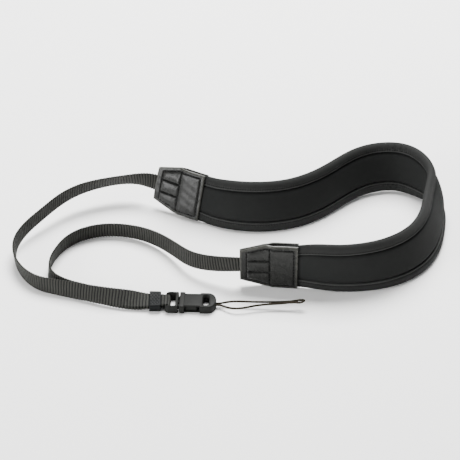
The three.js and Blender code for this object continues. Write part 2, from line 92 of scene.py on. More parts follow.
def outwards(points, faces):
    # turns every face round when the signed volume, a sum of p0 . (p1 x p2) / 6, is negative
    fans = []
    for size in {len(face) for face in faces}:
        alike = np.array([face for face in faces if len(face) == size])
        fans += [alike[:, [0, k, k + 1]] for k in range(1, size - 1)]
    corners = points[np.concatenate(fans)]
    volume = np.einsum("ij,ij->", corners[:, 0], np.cross(corners[:, 1], corners[:, 2]))
    return faces if volume > 0 else [list(reversed(f)) for f in faces]


def threeMarks(*parts):
    # numbers or arrays that spread to one shape, as one vector a point
    return np.stack(np.broadcast_arrays(*parts), -1)


def ringFaces(rows, columns, closedRows=False):
    # quads between neighbouring rings; each ring wraps, and so do the rings where closedRows is set
    i, j = np.meshgrid(np.arange(rows if closedRows else rows - 1), np.arange(columns),
                       indexing="ij")
    nextI, nextJ = (i + 1) % rows, (j + 1) % columns
    quads = np.stack([i * columns + j, i * columns + nextJ,
                      nextI * columns + nextJ, nextI * columns + j], -1).reshape(-1, 4).tolist()
    if closedRows:
        return quads
    last = (rows - 1) * columns
    return quads + [list(range(columns))[::-1], list(range(last, last + columns))]


def shellFaces(rows, columns):
    # an upper and a lower sheet of rows x columns points, joined along their four borders
    i, j = np.meshgrid(np.arange(rows - 1), np.arange(columns - 1), indexing="ij")
    a = i * columns + j
    upper = np.stack([a, a + 1, a + columns + 1, a + columns], -1).reshape(-1, 4)
    lower = upper[:, ::-1] + rows * columns
    border = np.concatenate([
        np.arange(columns - 1), np.arange(rows - 1) * columns + columns - 1,
        (rows - 1) * columns + np.arange(columns - 1, 0, -1), np.arange(rows - 1, 0, -1) * columns])
    onward = np.roll(border, -1)
    shift = rows * columns
    rim = np.stack([onward, border, border + shift, onward + shift], -1)
    return np.concatenate([upper, lower, rim]).tolist()


def smoothStep(x, low, high):
    # 0 below low, 1 above high, 3t^2 - 2t^3 between
    t = np.clip((x - low) / (high - low), 0, 1)
    return t * t * (3 - 2 * t)


# along the band from the rear tab: x, y, lift, lean in degrees, and shares of width, puff, bulge
bandTable = [
    (-45, 29.6, 1.2, 17, 0.8, 0.5, 0), (-17, 13.3, 0.1, 17, 0.93, 0.5, 0),
    (-2, 6, 0.1, 17, 0.98, 0.9, 0), (16, 3, 0, 18, 1, 1, 0),
    (36, 6.5, 0, 18, 1, 1, 0), (56, 19, 0.3, 15, 1, 1, 0),
    (72, 35, 0.8, 15, 1, 1, 0), (88, 46.5, 1.2, 20, 1, 1, 0),
    (105, 48.5, 1, 18, 1, 1, 0), (118.3, 38, 0.4, 3, 1, 1, 0.4),
    (125.4, 22, 0.2, -14, 1, 1, 1), (123.6, 3, 0, -22, 1, 1, 0.7),
    (119, -18, 0, -22, 1, 1, 0.3), (108.4, -41, 0, -18, 1, 1, 0),
    (88.4, -57.9, 0, -10, 1, 1, 0), (62, -63.5, 0, -1, 1, 1, 0),
    (48, -62.5, 0.5, 2, 0.99, 0.9, 0), (38.2, -61, 0.5, 3, 0.94, 0.5, 0),
    (5.6, -58.4, 0.1, 4, 0.8, 0.5, 0)]
# the strap's two legs, each away from its tab: x, y, z and lean
legTable = {
    "rear": [
        (-56, 33.3, 15.9, 14), (-66.8, 33.3, 15.4, 28), (-79.6, 29.6, 15.1, 26),
        (-92.2, 23.4, 14.5, 18), (-103.2, 13.8, 13.2, 10), (-112.9, 1.4, 11, 8),
        (-121.7, -11.8, 8.8, 4), (-126.3, -25.6, 7, -2), (-125, -39.6, 5.8, -6),
        (-119.2, -52.3, 5.2, -6), (-110, -62.2, 5.1, 0), (-98, -67.7, 5.3, 10),
        (-85, -72.2, 5.7, 20), (-72, -76.5, 6.2, 27), (-60, -78.8, 6.1, 40),
        (-52, -78.6, 4.9, 62), (-45.6, -78.4, 4.1, 79), (-41, -78.3, 4, 82),
        (-38, -78.3, 4.05, 86)],
    "front": [
        (-9.4, -53.8, 12.2, -4), (-22, -45.9, 9.8, -8), (-30.8, -34.7, 7.9, -6),
        (-39.6, -23.3, 6.5, -4), (-50.3, -14.2, 5.7, 0), (-62.7, -8.8, 5.2, 5),
        (-75.4, -8, 5.1, 7), (-87.3, -12.1, 5.1, 8), (-96.5, -20.9, 5.1, 8),
        (-102.1, -33.2, 5.1, 9), (-104.4, -46.2, 5.1, 7), (-102, -57.5, 5.2, 4),
        (-95.5, -64.8, 5.3, 6)],
}
# where two layers run together: x, the gap between their middles, the inner one's slip down
layerTable = {
    "doubledBelow": -60,  # y
    "rows": [
        (-88, 1.5, 0), (-76, 1.4, 0.6), (-62, 1.4, 1.2), (-52, 1.4, 1), (-45.6, 1.4, 0.3),
        (-38, 1.4, 0.3), (-36.6, 2.8, 0.1), (-35.4, 3.3, 0)],
}
band = {"halfWidth": 15.5, "seamInset": 6.0, "tongue": 1.2, "tongueInset": 1.9, "fitGap": 0.3,
        "edgeCorners": ((0, 0), (0.8, 1.6), (2.2, 2.5))}  # inset and half thickness at the rim
tab = {"length": 33.0, "taper": 15.0, "wideHalf": 14.5, "narrowHalf": 10.2, "leather": 1.1,
       "padInside": 12.0, "padHollow": 1.6, "rimGap": 0.2, "rimRise": 1.1, "halfThick": 2.4,
       "gridAlong": 120, "gridAcross": 105}
strap = {"halfWidth": 5.0, "halfThick": 0.55, "insideTab": 13.0, "stations": 74,
         "ribPitch": 1.72, "ribDepth": 0.27, "ribPower": 0.6, "step": 0.2, "barApproach": 1.2,
         "foldSteps": 25, "facePoints": 11}
bar = {"x": -35.4, "y": -78.3, "z": 2.5, "radius": 0.8}


def naturalCubic(knots, values, at):
    # y = a y0 + b y1 + ((a^3 - a) m0 + (b^3 - b) m1) h^2 / 6 with b = (at - k0) / h, a = 1 - b;
    # the bends m are zero at both ends and solve the usual three-term rows in between
    h = np.diff(knots)
    inner = np.arange(1, len(knots) - 1)
    system = np.eye(len(knots))
    system[inner, inner - 1] = h[:-1]
    system[inner, inner] = 2 * (h[:-1] + h[1:])
    system[inner, inner + 1] = h[1:]
    slope = np.diff(values, axis=0) / h[:, None]
    right = np.zeros_like(values)
    right[1:-1] = 6 * (slope[1:] - slope[:-1])
    bend = np.linalg.solve(system, right)
    i = np.clip(np.searchsorted(knots, at), 1, len(knots) - 1)
    b = ((at - knots[i - 1]) / h[i - 1])[:, None]
    a = 1 - b
    cubic = ((a ** 3 - a) * bend[i - 1] + (b ** 3 - b) * bend[i]) * h[i - 1][:, None] ** 2 / 6
    return a * values[i - 1] + b * values[i] + cubic


def reachOf(points):
    # running distance between the rows
    return np.concatenate([[0], np.cumsum(np.linalg.norm(np.diff(points, axis=0), axis=1))])


def unit(vectors):
    # each row divided by its length
    return vectors / np.linalg.norm(vectors, axis=1)[:, None]


def stationFrames(points, tangents, lean):
    # u leans from +Z towards the left of the way the strap runs, f is u x t
    t = unit(tangents)
    left = unit(np.stack([-t[:, 1], t[:, 0], np.zeros(len(t))], 1))
    angle = np.radians(lean)[:, None]
    u = np.array([0, 0, 1.0]) * np.cos(angle) + left * np.sin(angle)
    u = unit(u - t * np.sum(u * t, axis=1)[:, None])
    return {"p": points, "t": t, "u": u, "f": np.cross(u, t)}


def joinFrames(*parts):
    # one run of stations after another
    return {key: np.concatenate([part[key] for part in parts]) for key in ("p", "t", "u", "f")}


def placeOn(stations, w, f):
    # p + w u + f f, for arrays w and f of stations x columns
    return (stations["p"][:, None] + stations["u"][:, None] * w[..., None]
            + stations["f"][:, None] * f[..., None])


bandRows = np.array(bandTable, dtype=float)
bandReach = reachOf(bandRows[:, :2])
bandLength = bandReach[-1]
frontMouth = bandReach[-2]
rearMouth = bandReach[1]


def standingHeight(v):
    # the lowest of the section's corners (w, f) lies w cos(lean) + f sin(lean) below the middle
    lean = np.radians(np.abs(v[:, 3]))
    reach = band["halfWidth"] * v[:, 4]
    inTab = np.clip(2 - 2 * v[:, 5], 0, 1)
    corners = [(reach - inset, f) for inset, f in band["edgeCorners"]]
    corners.append((tab["wideHalf"], tab["halfThick"] * inTab))
    return np.max([w * np.cos(lean) + f * np.sin(lean) for w, f in corners], axis=0)


def bandPoints(distances):
    # middle of the section at each distance: x and y from the curve, z = standing height + lift
    v = naturalCubic(bandReach, bandRows, distances)
    height = standingHeight(v) + np.maximum(v[:, 2], 0)
    return np.stack([v[:, 0], v[:, 1], height], 1), v


def bandFrames(distances):
    # stations on the band; the tangent is the difference of two near points on the curve
    points, v = bandPoints(distances)
    ahead = bandPoints(np.minimum(distances + tangentStep, bandLength))[0]
    behind = bandPoints(np.maximum(distances - tangentStep, 0))[0]
    stations = stationFrames(points, ahead - behind, v[:, 3])
    stations.update(d=distances, width=v[:, 4:5], puff=np.clip(v[:, 5:6], 0.5, 1), bulge=v[:, 6:7],
                    lean=v[:, 3])
    return stations


def legFrames(rows, distances):
    # stations on one leg of the strap, found in the same way from its own rows
    knots = reachOf(rows[:, :3])
    v = naturalCubic(knots, rows, distances)
    ahead = naturalCubic(knots, rows, np.minimum(distances + tangentStep, knots[-1]))[:, :3]
    behind = naturalCubic(knots, rows, np.maximum(distances - tangentStep, 0))[:, :3]
    stations = stationFrames(v[:, :3], ahead - behind, v[:, 3])
    stations["lean"] = v[:, 3]
    return stations


def hiddenRows(distances, firstRow):
    # the stretch sewn inside a tab; its lean changes sign where the strap runs against the band
    s = bandFrames(np.array(distances))
    away = np.array(firstRow[:2]) - s["p"][:, :2]
    sign = np.sign(np.sum(s["t"][:, :2] * away, axis=1))
    return np.column_stack([s["p"], s["lean"] * sign])


def layering(x):
    # gap and slip at x, eased by 3t^2 - 2t^3 between neighbouring rows
    table = np.array(layerTable["rows"])
    i = np.clip(np.searchsorted(table[:, 0], x), 1, len(table) - 1)
    share = smoothStep((x - table[i - 1, 0]) / (table[i, 0] - table[i - 1, 0]), 0, 1)
    return (table[i - 1, 1:] + (table[i, 1:] - table[i - 1, 1:]) * share[:, None]).T


def innerLayer(stations):
    # the layer behind: p + gap f - slip u
    gap, slip = layering(stations["p"][:, 0])
    moved = dict(stations)
    moved["p"] = stations["p"] + stations["f"] * gap[:, None] - stations["u"] * slip[:, None]
    return moved


def chosen(stations, mask):
    # the stations that mask picks
    return {key: values[mask] for key, values in stations.items()}


def strapStations():
    # rear leg to the bar, half a turn round it, then the inner layer and the front leg backwards
    foldRadius = bar["radius"] + band["fitGap"] + strap["halfThick"]
    top = bar["z"] + foldRadius
    inTab = strap["insideTab"]
    hidden = hiddenRows([inTab, inTab / 2, 0], legTable["rear"][0])
    rearRows = np.vstack([hidden, legTable["rear"],
                          (bar["x"] - strap["barApproach"], bar["y"], top, 90),
                          (bar["x"], bar["y"], top, 90)])
    length = reachOf(rearRows[:, :3])[-1]
    q = np.arange(strap["stations"]) / (strap["stations"] - 1)
    coarseAt = length * q * (1.5 - 0.5 * q)
    coarse = legFrames(rearRows, coarseAt)
    isDoubled = ((coarse["p"][:, 0] > layerTable["rows"][0][0])
                 & (coarse["p"][:, 1] < layerTable["doubledBelow"]))
    meetAt = np.flatnonzero(isDoubled)[:3]
    meeting = chosen(innerLayer(coarse), meetAt)
    hidden = hiddenRows([bandLength - inTab, bandLength - inTab / 2, bandLength],
                        legTable["front"][0])
    frontRows = np.vstack([hidden, legTable["front"],
                           np.column_stack([meeting["p"], meeting["lean"]])])
    frontEnd = reachOf(frontRows[:, :3])[-3]
    rear = legFrames(rearRows, np.arange(0, length, strap["step"]))
    inner = innerLayer(legFrames(rearRows, np.arange(coarseAt[meetAt[0]], length, strap["step"])))
    front = legFrames(frontRows, np.arange(0, frontEnd - 0.1, strap["step"]))
    turn = np.linspace(0, math.pi, strap["foldSteps"])[:, None]
    f = np.hstack([-np.sin(turn), 0 * turn, -np.cos(turn)])
    fold = {"p": np.array([bar["x"], bar["y"], bar["z"]]) - foldRadius * f,
            "t": np.hstack([np.cos(turn), 0 * turn, -np.sin(turn)]),
            "u": np.array([[0, 1.0, 0]]) + 0 * turn, "f": f}
    back = joinFrames(front, inner)
    back = {"p": back["p"][::-1], "t": -back["t"][::-1], "u": back["u"][::-1],
            "f": -back["f"][::-1]}
    return joinFrames(rear, fold, back), rearRows


def newGroup(name, inputs, outputs):
    # an empty node group with its sockets, and its input and output nodes
    group = bpy.data.node_groups.new(name, "ShaderNodeTree")
    for label, kind, value in inputs:
        socket = group.interface.new_socket(name=label, in_out="INPUT", socket_type=kind)
        if value is not None:
            socket.default_value = value
    for label, kind in outputs:
        group.interface.new_socket(name=label, in_out="OUTPUT", socket_type=kind)
    return group, group.nodes.new("NodeGroupInput"), group.nodes.new("NodeGroupOutput")


def mathNode(tree, operation, *values):
    # one arithmetic step on numbers or sockets
    node = tree.nodes.new("ShaderNodeMath")
    node.operation = operation
    for i, value in enumerate(values):
        if isinstance(value, (int, float)):
            node.inputs[i].default_value = value
        else:
            tree.links.new(value, node.inputs[i])
    return node.outputs[0]


def noiseNode(tree, vector, scale, detail=2.0, roughness=0.5):
    # soft noise, 0 to 1, with scale in cells per metre
    node = tree.nodes.new("ShaderNodeTexNoise")
    tree.links.new(vector, node.inputs["Vector"])
    if isinstance(scale, (int, float)):
        node.inputs["Scale"].default_value = scale
    else:
        tree.links.new(scale, node.inputs["Scale"])
    node.inputs["Detail"].default_value = detail
    node.inputs["Roughness"].default_value = roughness
    return node.outputs["Fac"]


def makeMottleGroup():
    # colour x (1 + amount x (coarse noise + half fine noise - 0.75)), and the same noise as a mask
    group, given, result = newGroup(
        "mottledFinish",
        [("Vector", "NodeSocketVector", None), ("Color", "NodeSocketColor", (0.1, 0.1, 0.1, 1)),
         ("Scale", "NodeSocketFloat", 60.0), ("Amount", "NodeSocketFloat", 0.3)],
        [("Color", "NodeSocketColor"), ("Mask", "NodeSocketFloat")])
    coarse = noiseNode(group, given.outputs["Vector"], given.outputs["Scale"], 3.0)
    fineScale = mathNode(group, "MULTIPLY", given.outputs["Scale"], 9.0)
    fine = noiseNode(group, given.outputs["Vector"], fineScale, 2.0)
    both = mathNode(group, "ADD", coarse, mathNode(group, "MULTIPLY", fine, 0.5))
    swing = mathNode(group, "MULTIPLY", mathNode(group, "SUBTRACT", both, 0.75),
                     given.outputs["Amount"])
    gain = mathNode(group, "ADD", swing, 1.0)
    scaled = group.nodes.new("ShaderNodeVectorMath")
    scaled.operation = "SCALE"
    group.links.new(given.outputs["Color"], scaled.inputs[0])
    group.links.new(gain, scaled.inputs["Scale"])
    group.links.new(scaled.outputs[0], result.inputs["Color"])
    group.links.new(coarse, result.inputs["Mask"])
    return group


def makeGrainGroup():
    # pebbled hide: the valleys between cells of two sizes, with a little fine noise on top
    group, given, result = newGroup(
        "pebbledGrain",
        [("Vector", "NodeSocketVector", None), ("Scale", "NodeSocketFloat", 900.0)],
        [("Height", "NodeSocketFloat")])
    heights = []
    for factor, gain in ((1.0, 1.0), (2.3, 0.4)):
        cells = group.nodes.new("ShaderNodeTexVoronoi")
        cells.feature = "DISTANCE_TO_EDGE"
        group.links.new(given.outputs["Vector"], cells.inputs["Vector"])
        group.links.new(mathNode(group, "MULTIPLY", given.outputs["Scale"], factor),
                        cells.inputs["Scale"])
        ridge = mathNode(group, "MINIMUM", mathNode(group, "MULTIPLY", cells.outputs[0], 4.0), 1.0)
        heights.append(mathNode(group, "MULTIPLY", ridge, gain))
    fine = noiseNode(group, given.outputs["Vector"],
                     mathNode(group, "MULTIPLY", given.outputs["Scale"], 4.0), 2.0)
    total = mathNode(group, "ADD", mathNode(group, "ADD", *heights),
                     mathNode(group, "MULTIPLY", fine, 0.5))
    group.links.new(total, result.inputs["Height"])
    return group


def makeKnitGroup():
    # crossing rows of loops: sin(a x) sin(b y) in the piece's own lengthwise and crosswise mm
    group, given, result = newGroup(
        "knitRows",
        [("Flow", "NodeSocketVector", None), ("Along", "NodeSocketFloat", 0.6),
         ("Across", "NodeSocketFloat", 0.5)],
        [("Height", "NodeSocketFloat")])
    split = group.nodes.new("ShaderNodeSeparateXYZ")
    group.links.new(given.outputs["Flow"], split.inputs[0])
    waves = []
    for axis, pitch in ((0, "Along"), (1, "Across")):
        turns = mathNode(group, "DIVIDE", split.outputs[axis], given.outputs[pitch])
        waves.append(mathNode(group, "SINE", mathNode(group, "MULTIPLY", turns, 2 * math.pi)))
    group.links.new(mathNode(group, "MULTIPLY", *waves), result.inputs["Height"])
    return group


mottledFinish = makeMottleGroup()
pebbledGrain = makeGrainGroup()
knitRows = makeKnitGroup()
print("shader groups made")


def startMaterial(name, setup):
    # a plain Principled surface, with the parts that a look goes on to change
    material = bpy.data.materials.new(name)
    material.use_nodes = True
    tree = material.node_tree
    surface = tree.nodes["Principled BSDF"]
    surface.inputs["Base Color"].default_value = (*setup["color"], 1)
    surface.inputs["Roughness"].default_value = setup["roughness"]
    surface.inputs["Specular IOR Level"].default_value = setup["specular"]
    return material, tree, surface


def objectCoordinates(tree):
    # the piece's own position in metres
    return tree.nodes.new("ShaderNodeTexCoord").outputs["Object"]


def ownMarks(tree, name):
    # the vectors that addMesh kept on the points under this name
    node = tree.nodes.new("ShaderNodeAttribute")
    node.attribute_name = name
    return node.outputs["Vector"]


def splitMarks(tree, name):
    # the three numbers of ownMarks, each on its own
    split = tree.nodes.new("ShaderNodeSeparateXYZ")
    tree.links.new(ownMarks(tree, name), split.inputs[0])
    return split.outputs


def useGroup(tree, group, **values):
    # the shared group placed in a material, with numbers or sockets on its inputs
    node = tree.nodes.new("ShaderNodeGroup")
    node.node_tree = group
    for label, value in values.items():
        if isinstance(value, bpy.types.NodeSocket):
            tree.links.new(value, node.inputs[label])
        else:
            node.inputs[label].default_value = value
    return node


def knitHeight(tree, pitch):
    # the shared rows of loops, laid along the piece
    return useGroup(tree, knitRows, Flow=ownMarks(tree, "flow"), Along=pitch[0],
                    Across=pitch[1]).outputs["Height"]


def mottled(tree, surface, color, scale, amount):
    # colour through the shared mottle; its mask is given back
    finish = useGroup(tree, mottledFinish, Vector=objectCoordinates(tree), Color=color,
                      Scale=scale, Amount=amount)
    tree.links.new(finish.outputs["Color"], surface.inputs["Base Color"])
    return finish.outputs["Mask"]


def addBump(tree, surface, height, distance):
    # tilts the normal by the slope of height x distance, in mm
    bump = tree.nodes.new("ShaderNodeBump")
    bump.inputs["Distance"].default_value = distance * millimetre
    tree.links.new(height, bump.inputs["Height"])
    tree.links.new(bump.outputs["Normal"], surface.inputs["Normal"])


def mixColors(tree, factor, low, high):
    # low (1 - factor) + high factor
    mix = tree.nodes.new("ShaderNodeMix")
    mix.data_type = "RGBA"
    tree.links.new(factor, mix.inputs["Factor"])
    for socket, value in ((mix.inputs["A"], low), (mix.inputs["B"], high)):
        if isinstance(value, bpy.types.NodeSocket):
            tree.links.new(value, socket)
        else:
            socket.default_value = (*value, 1)
    return mix.outputs["Result"]


def remap(tree, value, low, high, toLow=0.0, toHigh=1.0):
    # low..high turned into toLow..toHigh along 3t^2 - 2t^3
    node = tree.nodes.new("ShaderNodeMapRange")
    node.interpolation_type = "SMOOTHSTEP"
    tree.links.new(value, node.inputs["Value"])
    for label, number in (("From Min", low), ("From Max", high), ("To Min", toLow),
                          ("To Max", toHigh)):
        node.inputs[label].default_value = number
    return node.outputs["Result"]


def fabricMaterial(name, setup):
    # mottled cloth with rows of loops along its own length and width, and a paler colour by the
    # third flow mark: a painted highlight on the hem ridge, and paler ticks at the stitches
    material, tree, surface = startMaterial(name, setup)
    marks = splitMarks(tree, "flow")
    # painted highlight on the hem ridge, and paler ticks at the stitches, mixed in by the third
    # flow mark
    hemHighlightAndTickGain, lintScale, lintShare = 2.4, 2600.0, 1.4
    paler = tuple(hemHighlightAndTickGain * c for c in setup["color"])
    base = mixColors(tree, marks[2], setup["color"], paler)
    mottled(tree, surface, base, setup["mottleScale"], setup["mottle"])
    lint = noiseNode(tree, objectCoordinates(tree), lintScale, 3.0, 0.7)
    height = mathNode(tree, "ADD", knitHeight(tree, setup["pitch"]),
                      mathNode(tree, "MULTIPLY", lint, lintShare))
    addBump(tree, surface, height, setup["bump"])
    return material


panelFinish = {"color": (0.0121, 0.0127, 0.0124), "roughness": 0.85, "specular": 0.07,
               "mottleScale": 45.0, "mottle": 0.25, "pitch": (0.55, 0.45), "bump": 0.03}
bindingFinish = {"color": (0.0165, 0.017, 0.0165), "roughness": 0.8, "specular": 0.09,
                 "mottleScale": 70.0, "mottle": 0.35, "pitch": (0.5, 0.9), "bump": 0.04}
neoprene = fabricMaterial("padNeoprene", panelFinish)
bindingCloth = fabricMaterial("bindingCloth", bindingFinish)


def makeStrapMaterial(setup):
    # painted shade between the ribs, darker by the rib height kept in the third mark, with fine
    # yarns on top
    material, tree, surface = startMaterial("ribbedStrap", setup)
    marks = splitMarks(tree, "flow")
    # painted shade: the valleys between the ribs get the much darker colour
    crest = remap(tree, marks[2], *setup["crest"])
    base = mixColors(tree, crest, setup["ribShadeColor"], setup["color"])
    mottled(tree, surface, base, setup["mottleScale"], setup["mottle"])
    fuzz = noiseNode(tree, objectCoordinates(tree), setup["fuzzScale"], 3.0, 0.7)
    height = mathNode(tree, "ADD", knitHeight(tree, setup["pitch"]), fuzz)
    addBump(tree, surface, height, setup["bump"])
    return material


def makeLeatherMaterial(setup):
    # paler near the cut edge (first mark), painted shade darkening the sewn grooves (second),
    # pebbled
    color, roughness = setup["color"], setup["roughness"]
    material, tree, surface = startMaterial("tabLeather", setup)
    marks = splitMarks(tree, "panel")
    blotch = noiseNode(tree, objectCoordinates(tree), 320.0, 4.0, 0.6)
    wander = mathNode(tree, "MULTIPLY", mathNode(tree, "SUBTRACT", blotch, 0.5), 1.6)
    rimward = mathNode(tree, "ADD", marks[0], wander)
    edge = remap(tree, rimward, *setup["edgeReach"], 1.0, 0.0)
    # painted shade: the leather is made darker along the sewn grooves
    seamShadeMask = remap(tree, marks[1], *setup["seamReach"], 1.0, 0.0)
    paledAtRim = mixColors(tree, edge, color, setup["edgeColor"])
    seamShadedColor = mixColors(tree, seamShadeMask, paledAtRim, tuple(setup["seamShadeGain"] * c for c in color))
    mask = mottled(tree, surface, seamShadedColor, setup["mottleScale"], setup["mottle"])
    tree.links.new(remap(tree, mask, *maskRange, roughness - 0.06, roughness + 0.1),
                   surface.inputs["Roughness"])
    grain = useGroup(tree, pebbledGrain, Vector=objectCoordinates(tree), Scale=setup["grainScale"])
    addBump(tree, surface, grain.outputs["Height"], setup["bump"])
    return material


def makeMouldedMaterial(name, color, roughness, grainScale, grainDepth, mottleScale=160.0):
    # moulded plastic, rubber or thread: fine texture, gloss that varies, a painted highlight where
    # it is raised
    material, tree, surface = startMaterial(
        name, {"color": color, "roughness": roughness, "specular": 0.045})
    # painted highlight: the raised bumps get a paler colour
    raisedHighlight = tuple(raisedHighlightGain * c for c in color)
    base = mixColors(tree, splitMarks(tree, "raised")[0], color, raisedHighlight)
    mask = mottled(tree, surface, base, mottleScale, 0.35)
    tree.links.new(remap(tree, mask, *maskRange, roughness - 0.05, roughness + 0.08),
                   surface.inputs["Roughness"])
    addBump(tree, surface, noiseNode(tree, objectCoordinates(tree), grainScale, 3.0, 0.6),
            grainDepth)
    return material


def makeCordMaterial(setup):
    # fine twisted yarn: slanting stripes, sin(2 pi length / lay + 2 turn)
    material, tree, surface = startMaterial("twistedCord", setup)
    mottled(tree, surface, (*setup["color"], 1), setup["mottleScale"], setup["mottle"])
    marks = splitMarks(tree, "flow")
    lengthwise = mathNode(tree, "MULTIPLY", marks[0], 2 * math.pi / setup["lay"])
    slant = mathNode(tree, "ADD", lengthwise, mathNode(tree, "MULTIPLY", marks[1], 2.0))
    addBump(tree, surface, mathNode(tree, "SINE", slant), setup["bump"])
    return material


# the valley colour is painted shade between the ribs
strapFinish = {"color": (0.031, 0.0315, 0.028), "ribShadeColor": (0.0033, 0.0033, 0.0033),
               "roughness": 0.6, "specular": 0.11, "crest": (0.4, 0.95), "mottleScale": 140.0,
               "mottle": 0.5, "pitch": (0.42, 0.38), "fuzzScale": 3000.0, "bump": 0.05}
# seamShadeGain darkens the sewn grooves as painted shade
leatherFinish = {"color": (0.01, 0.0103, 0.0095), "edgeColor": (0.035, 0.035, 0.031),
                 "roughness": 0.26, "specular": 0.19, "edgeReach": (0.25, 1.5),
                 "seamReach": (0.15, 0.75), "seamShadeGain": 0.6, "mottleScale": 230.0,
                 "mottle": 0.5, "grainScale": 1100.0, "bump": 0.028}
cordFinish = {"color": (0.013, 0.01, 0.0045), "roughness": 0.6, "specular": 0.11,
              "mottleScale": 500.0, "mottle": 0.6, "lay": 1.3, "bump": 0.08}
maskRange = (0.3, 0.7)  # the part of the noise over which the gloss changes
raisedHighlightGain = 3.5  # how much paler the painted highlight on the raised bumps is
strapWeave = makeStrapMaterial(strapFinish)
tabLeather = makeLeatherMaterial(leatherFinish)
keeperRubber = makeMouldedMaterial("keeperRubber", (0.007, 0.0075, 0.0077), 0.5, 2500.0, 0.03)
bucklePlastic = makeMouldedMaterial("bucklePlastic", (0.0121, 0.0125, 0.0117), 0.45, 1800.0,
                                    0.03)
cordYarn = makeCordMaterial(cordFinish)
sewingThread = makeMouldedMaterial("sewingThread", (0.0033, 0.0033, 0.0033), 0.6, 4000.0,
                                   0.05, mottleScale=600.0)
print("materials made")


cord = {
    "radius": 0.6,
    "sides": 12,
    "stations": 420,
    "twistDepth": 0.07,
    "route": [
        (-9.2, -78.8, 2.1), (-6, -78.9, 2.2), (-1, -78.7, 3), (5, -79, 3.6), (13, -79.7, 3.8),
        (21, -80.2, 4.1), (29, -80.7, 4.5), (36, -80.7, 5.2), (40.3, -80.6, 5.7),
        (41.5, -81.4, 5.9), (40.5, -82.3, 5.7), (36.5, -82.2, 5.2), (30, -82, 4.5),
        (22, -82.1, 3.9), (13.5, -83.2, 3.5), (7, -84.7, 3.2), (2.6, -84.8, 2.9),
        (-1.4, -83.2, 2.5), (-4.8, -81, 2.2), (-9.2, -80.3, 2.1)],
}


def addCordLoop():
    # circles of the cord's radius carried square to a smooth line through the route's points
    route = np.array(cord["route"], dtype=float)
    knots = reachOf(route)
    at = np.linspace(0, knots[-1], cord["stations"])
    line = naturalCubic(knots, route, at)
    t = unit(np.gradient(line, axis=0))
    side = unit(np.cross(t, [0, 0, 1.0]))
    over = np.cross(side, t)
    turn = np.arange(cord["sides"]) * 2 * math.pi / cord["sides"]
    phase = at[:, None] * 2 * math.pi / cordFinish["lay"]
    twist = 1 + cord["twistDepth"] * np.cos(2 * turn[None] + phase)
    ring = (side[:, None] * np.cos(turn)[None, :, None]
            + over[:, None] * np.sin(turn)[None, :, None])
    grid = line[:, None] + ring * (cord["radius"] * twist)[..., None]
    flow = threeMarks(at[:, None], turn[None], 0.0)
    piece = addMesh("CordLoop", grid, ringFaces(len(at), cord["sides"]),
                    cordYarn, {"flow": flow})
    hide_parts("cord_loop")
    length = float(np.sum(np.linalg.norm(np.diff(line, axis=0), axis=1))) * millimetre
    return length


print("cord loop length in metres:", round(addCordLoop(), 4))


padding = {"panelHalf": 3.15, "crown": 0.14, "shoulder": 12.0, "bindingHalf": 2.65,
           "panelStep": 0.5, "bindingStep": 0.375, "gather": 0.3, "facePoints": 45,
           "slack": 0.05}
binding = {"hemFlat": 2.0, "swellTo": 4.0, "hemLip": 0.45, "hemWidth": 0.38, "hemRise": 0.22,
           "pucker": 0.16, "puckerAt": 1.7, "puckerWidth": 0.9, "tick": 0.8, "tickAt": 1.6,
           "tickWidth": 0.6, "grooveDepth": 0.3, "grooveWidth": 0.35}


def bell(x, middle, width):
    # exp(-((x - middle) / width)^2)
    return np.exp(-((x - middle) / width) ** 2)


def inwardBend(stations):
    # how tightly the band curls towards its inner face, 0 to 1, from the turn of its tangent
    turn = np.gradient(np.unwrap(np.arctan2(stations["t"][:, 1], stations["t"][:, 0])))
    step = np.gradient(stations["d"])
    return smoothStep(-turn / step, 0.02, 0.06)[:, None]


def panelHalfThickness(w, seam, puff):
    # crowned face with a round shoulder: h (1 - crown (w/s)^2) sqrt(1 - |w/s|^k)
    share = np.clip(np.abs(w) / seam, 0, 1)
    shoulder = np.sqrt(np.clip(1 - share ** padding["shoulder"], 0, 1))
    return padding["panelHalf"] * puff * (1 - padding["crown"] * share ** 2) * shoulder


def addNeckPanel(stations):
    # closed section: outer face, thin tongue along each side that the bindings hold, inner face
    seam = band["halfWidth"] * stations["width"] - band["seamInset"] - band["fitGap"]
    reach = band["halfWidth"] * stations["width"] - band["tongueInset"]
    share = np.sin(np.linspace(-1, 1, padding["facePoints"]) * math.pi / 2)
    tongue = band["tongue"] * stations["puff"]
    face = share * seam
    half = np.maximum(panelHalfThickness(face, seam, stations["puff"]), tongue)
    d = stations["d"][:, None]
    slack = padding["slack"] * np.sin(d * 0.21) * np.cos(face * 0.3)
    bulge = stations["bulge"] * np.clip(1 - (face / seam) ** 2, 0, 1)
    w = np.hstack([-reach, face, reach, reach, face[:, ::-1], -reach])
    f = np.hstack([tongue, half + bulge + slack, tongue,
                   -tongue, -(half - slack)[:, ::-1], -tongue])
    grid = placeOn(stations, w, f)
    flow = threeMarks(d, w, 0.0)
    piece = addMesh("NeckPanel", grid, ringFaces(*w.shape), neoprene,
                    {"flow": flow}, sharp=60)
    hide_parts("neck_pad")


def bindingHalfThickness(across, puff):
    # a quarter ellipse outside the flat part, h (1 - 0.2 t^2) and a rounded lip inside it
    swell, flat = padding["bindingHalf"] * puff, binding["hemFlat"]
    past = np.sqrt(np.clip(1 - ((across - flat) / binding["swellTo"]) ** 2, 0, 1))
    before = 1 - 0.2 * ((flat - across) / flat) ** 2
    lip = 1 - 0.4 * np.clip(1 - across / binding["hemLip"], 0, 1) ** 2
    return swell * np.where(across > flat, past, before * lip)


